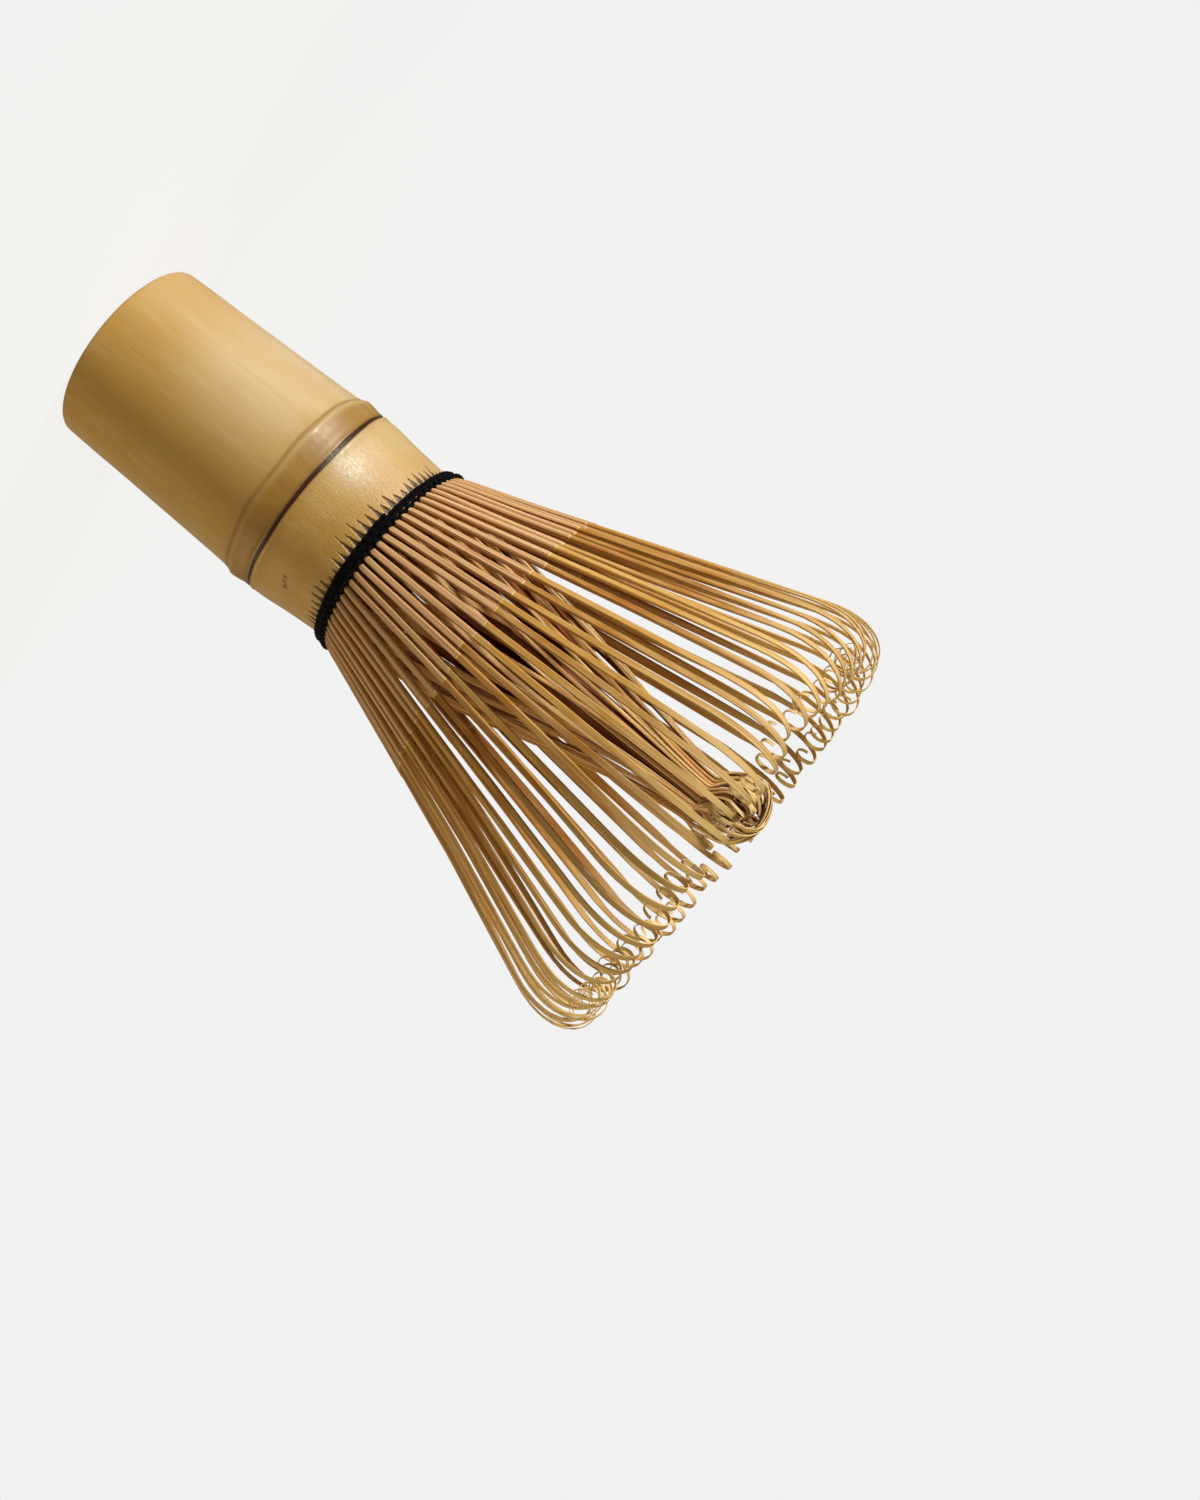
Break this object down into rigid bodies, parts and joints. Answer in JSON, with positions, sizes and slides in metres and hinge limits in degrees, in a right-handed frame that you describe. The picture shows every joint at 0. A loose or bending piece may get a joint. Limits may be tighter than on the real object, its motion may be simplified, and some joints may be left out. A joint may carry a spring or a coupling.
{
  "type": "bamboo tea whisk",
  "caption": "Bamboo tea whisk with a round noded handle, a thread-bound collar, a flared ring of curled outer tines and a gathered bundle of inner tines.",
  "frame": {"origin": "centre of the handle's cut end, which it stands on", "axes": "+Z along the culm from the handle's cut end to the tine tips; +X and +Y are across it"},
  "size_m": [0.066, 0.066, 0.1058],
  "materials": {
    "bamboo culm": "smooth dried bamboo skin, satin",
    "bamboo tine": "split and shaved bamboo",
    "black thread": "twisted cotton thread, matt"
  },
  "bodies": {
    "handle": {"culm_handle": "bamboo culm", "binding_thread": "black thread", "spacer_thread": "black thread"},
    "outer_tines_01": {"outer_tines_01": "bamboo tine"},
    "outer_tines_02": {"outer_tines_02": "bamboo tine"},
    "outer_tines_03": {"outer_tines_03": "bamboo tine"},
    "outer_tines_04": {"outer_tines_04": "bamboo tine"},
    "outer_tines_05": {"outer_tines_05": "bamboo tine"},
    "outer_tines_06": {"outer_tines_06": "bamboo tine"},
    "outer_tines_07": {"outer_tines_07": "bamboo tine"},
    "outer_tines_08": {"outer_tines_08": "bamboo tine"},
    "outer_tines_09": {"outer_tines_09": "bamboo tine"},
    "outer_tines_10": {"outer_tines_10": "bamboo tine"},
    "outer_tines_11": {"outer_tines_11": "bamboo tine"},
    "outer_tines_12": {"outer_tines_12": "bamboo tine"},
    "inner_tines_1": {"inner_tines_1": "bamboo tine"},
    "inner_tines_2": {"inner_tines_2": "bamboo tine"},
    "inner_tines_3": {"inner_tines_3": "bamboo tine"},
    "inner_tines_4": {"inner_tines_4": "bamboo tine"},
    "inner_tines_5": {"inner_tines_5": "bamboo tine"},
    "inner_tines_6": {"inner_tines_6": "bamboo tine"}
  },
  "joints": [
    {"name": "outer_tines_01_flex", "type": "hinge", "parent": "handle", "child": "outer_tines_01", "pos_m": [0.01265, 0.00339, 0.0457], "axis": [-0.2588, 0.9659, 0], "range_deg": [-2.5, 4], "stiffness_Nm_per_rad": 0.02},
    {"name": "outer_tines_02_flex", "type": "hinge", "parent": "handle", "child": "outer_tines_02", "pos_m": [0.00926, 0.00926, 0.0457], "axis": [-0.7071, 0.7071, 0], "range_deg": [-2.5, 4], "stiffness_Nm_per_rad": 0.02},
    {"name": "outer_tines_03_flex", "type": "hinge", "parent": "handle", "child": "outer_tines_03", "pos_m": [0.00339, 0.01265, 0.0457], "axis": [-0.9659, 0.2588, 0], "range_deg": [-2.5, 4], "stiffness_Nm_per_rad": 0.02},
    {"name": "outer_tines_04_flex", "type": "hinge", "parent": "handle", "child": "outer_tines_04", "pos_m": [-0.00339, 0.01265, 0.0457], "axis": [-0.9659, -0.2588, 0], "range_deg": [-2.5, 4], "stiffness_Nm_per_rad": 0.02},
    {"name": "outer_tines_05_flex", "type": "hinge", "parent": "handle", "child": "outer_tines_05", "pos_m": [-0.00926, 0.00926, 0.0457], "axis": [-0.7071, -0.7071, 0], "range_deg": [-2.5, 4], "stiffness_Nm_per_rad": 0.02},
    {"name": "outer_tines_06_flex", "type": "hinge", "parent": "handle", "child": "outer_tines_06", "pos_m": [-0.01265, 0.00339, 0.0457], "axis": [-0.2588, -0.9659, 0], "range_deg": [-2.5, 4], "stiffness_Nm_per_rad": 0.02},
    {"name": "outer_tines_07_flex", "type": "hinge", "parent": "handle", "child": "outer_tines_07", "pos_m": [-0.01265, -0.00339, 0.0457], "axis": [0.2588, -0.9659, 0], "range_deg": [-2.5, 4], "stiffness_Nm_per_rad": 0.02},
    {"name": "outer_tines_08_flex", "type": "hinge", "parent": "handle", "child": "outer_tines_08", "pos_m": [-0.00926, -0.00926, 0.0457], "axis": [0.7071, -0.7071, 0], "range_deg": [-2.5, 4], "stiffness_Nm_per_rad": 0.02},
    {"name": "outer_tines_09_flex", "type": "hinge", "parent": "handle", "child": "outer_tines_09", "pos_m": [-0.00339, -0.01265, 0.0457], "axis": [0.9659, -0.2588, 0], "range_deg": [-2.5, 4], "stiffness_Nm_per_rad": 0.02},
    {"name": "outer_tines_10_flex", "type": "hinge", "parent": "handle", "child": "outer_tines_10", "pos_m": [0.00339, -0.01265, 0.0457], "axis": [0.9659, 0.2588, 0], "range_deg": [-2.5, 4], "stiffness_Nm_per_rad": 0.02},
    {"name": "outer_tines_11_flex", "type": "hinge", "parent": "handle", "child": "outer_tines_11", "pos_m": [0.00926, -0.00926, 0.0457], "axis": [0.7071, 0.7071, 0], "range_deg": [-2.5, 4], "stiffness_Nm_per_rad": 0.02},
    {"name": "outer_tines_12_flex", "type": "hinge", "parent": "handle", "child": "outer_tines_12", "pos_m": [0.01265, -0.00339, 0.0457], "axis": [0.2588, 0.9659, 0], "range_deg": [-2.5, 4], "stiffness_Nm_per_rad": 0.02},
    {"name": "inner_tines_1_flex", "type": "hinge", "parent": "handle", "child": "inner_tines_1", "pos_m": [0.01064, 0.00554, 0.0457], "axis": [-0.4617, 0.887, 0], "range_deg": [0, 6], "stiffness_Nm_per_rad": 0.02},
    {"name": "inner_tines_2_flex", "type": "hinge", "parent": "handle", "child": "inner_tines_2", "pos_m": [0.00052, 0.01199, 0.0457], "axis": [-0.999, 0.0436, 0], "range_deg": [0, 6], "stiffness_Nm_per_rad": 0.02},
    {"name": "inner_tines_3_flex", "type": "hinge", "parent": "handle", "child": "inner_tines_3", "pos_m": [-0.01012, 0.00645, 0.0457], "axis": [-0.5373, -0.8434, 0], "range_deg": [0, 6], "stiffness_Nm_per_rad": 0.02},
    {"name": "inner_tines_4_flex", "type": "hinge", "parent": "handle", "child": "inner_tines_4", "pos_m": [-0.01064, -0.00554, 0.0457], "axis": [0.4617, -0.887, 0], "range_deg": [0, 6], "stiffness_Nm_per_rad": 0.02},
    {"name": "inner_tines_5_flex", "type": "hinge", "parent": "handle", "child": "inner_tines_5", "pos_m": [-0.00052, -0.01199, 0.0457], "axis": [0.999, -0.0436, 0], "range_deg": [0, 6], "stiffness_Nm_per_rad": 0.02},
    {"name": "inner_tines_6_flex", "type": "hinge", "parent": "handle", "child": "inner_tines_6", "pos_m": [0.01012, -0.00645, 0.0457], "axis": [0.5373, 0.8434, 0], "range_deg": [0, 6], "stiffness_Nm_per_rad": 0.02}
  ]
}
